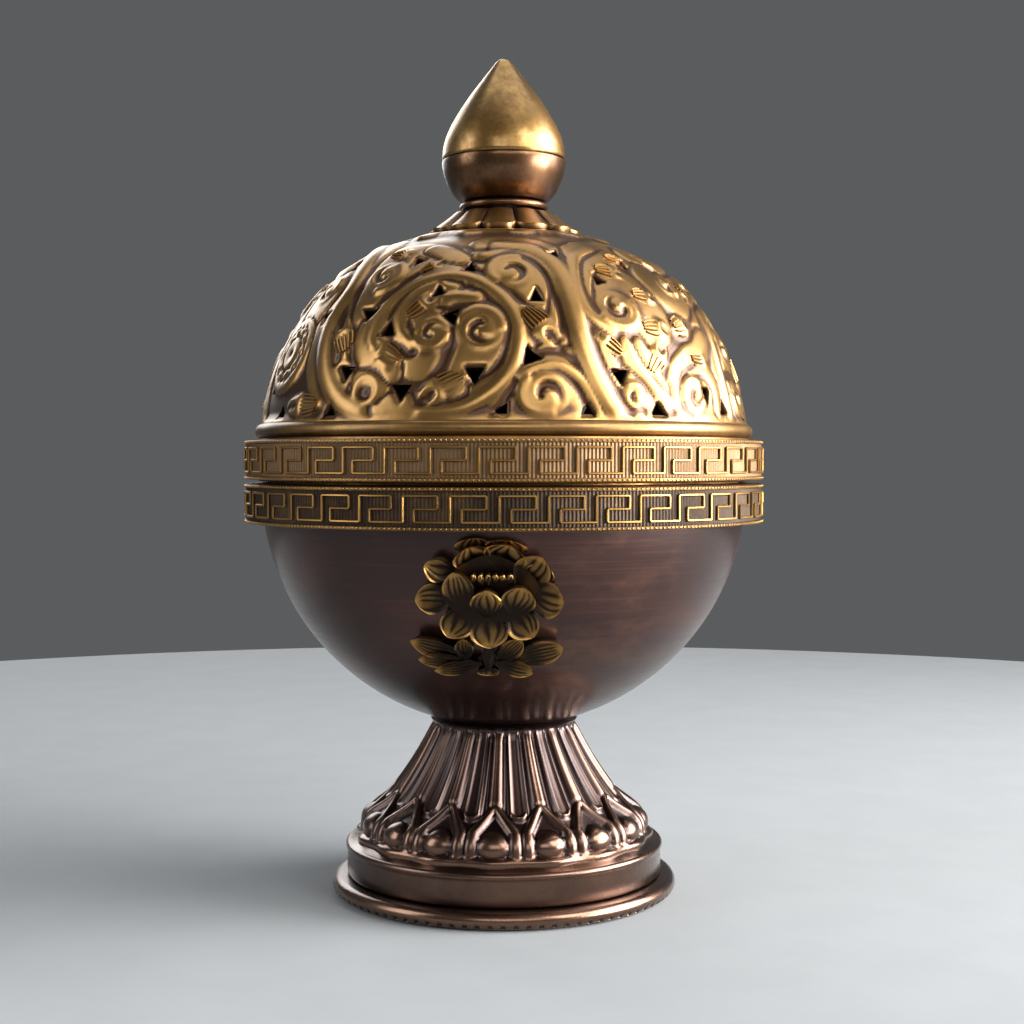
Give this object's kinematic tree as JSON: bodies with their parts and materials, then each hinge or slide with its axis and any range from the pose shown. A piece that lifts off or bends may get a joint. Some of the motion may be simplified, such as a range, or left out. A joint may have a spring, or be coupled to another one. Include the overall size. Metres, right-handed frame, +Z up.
{
  "type": "thurible censer",
  "caption": "Brass and copper incense burner: round bowl on a flared fluted foot, pierced scrollwork dome lid with a pointed finial, and a lift-out charcoal pan.",
  "frame": {"origin": "centre of the flat underside of the foot, on the table", "axes": "+Z up through the finial, -Y towards the front lotus badge, +X to the right seen from the front"},
  "size_m": [0.093, 0.093, 0.15],
  "materials": {
    "bowl_copper": "dark brown patina over copper, finely brushed, waxed to a satin gloss",
    "foot_copper": "dark brown patina over copper, rubbed orange-brown on the ridges",
    "dome_brass": "antiqued embossed brass, bright on the high points and brown in the hollows",
    "finial_brass": "antiqued brass, rubbed bright, with small dark specks",
    "band_brass": "pressed brass strip with a dark brown ground and rubbed lines",
    "badge_bronze": "cast brass, blackened in the hollows and rubbed on the petal edges",
    "inner_steel": "plain zinc-plated steel, a little dull",
    "pan_brass": "plain brass sheet, heat-stained"
  },
  "bodies": {
    "base": {"foot_bead_ring": "foot_copper", "foot_plinth_band": "foot_copper", "foot_shell": "foot_copper", "foot_clamp_washer": "inner_steel", "foot_bolt": "inner_steel", "foot_nut": "inner_steel", "bowl": "bowl_copper", "bowl_rim_ring": "band_brass", "bowl_key_band": "band_brass", "lid_locating_sleeve": "pan_brass", "lotus_front": "badge_bronze", "lotus_back": "badge_bronze"},
    "lid": {"lid_dome": "dome_brass", "lid_rim_ring": "band_brass", "lid_key_band": "band_brass", "petal_collar": "dome_brass", "finial_neck_ring": "finial_brass", "finial_cup": "finial_brass", "finial_cone": "finial_brass", "finial_stud": "inner_steel", "finial_washer": "inner_steel", "finial_nut": "inner_steel"},
    "pan": {"charcoal_pan": "pan_brass"}
  },
  "joints": [
    {"name": "lid_lift", "type": "slide", "parent": "base", "child": "lid", "axis": [0, 0, 1], "range_m": [0, 0.09]},
    {"name": "pan_lift", "type": "slide", "parent": "base", "child": "pan", "axis": [0, 0, 1], "range_m": [0, 0.05]}
  ]
}
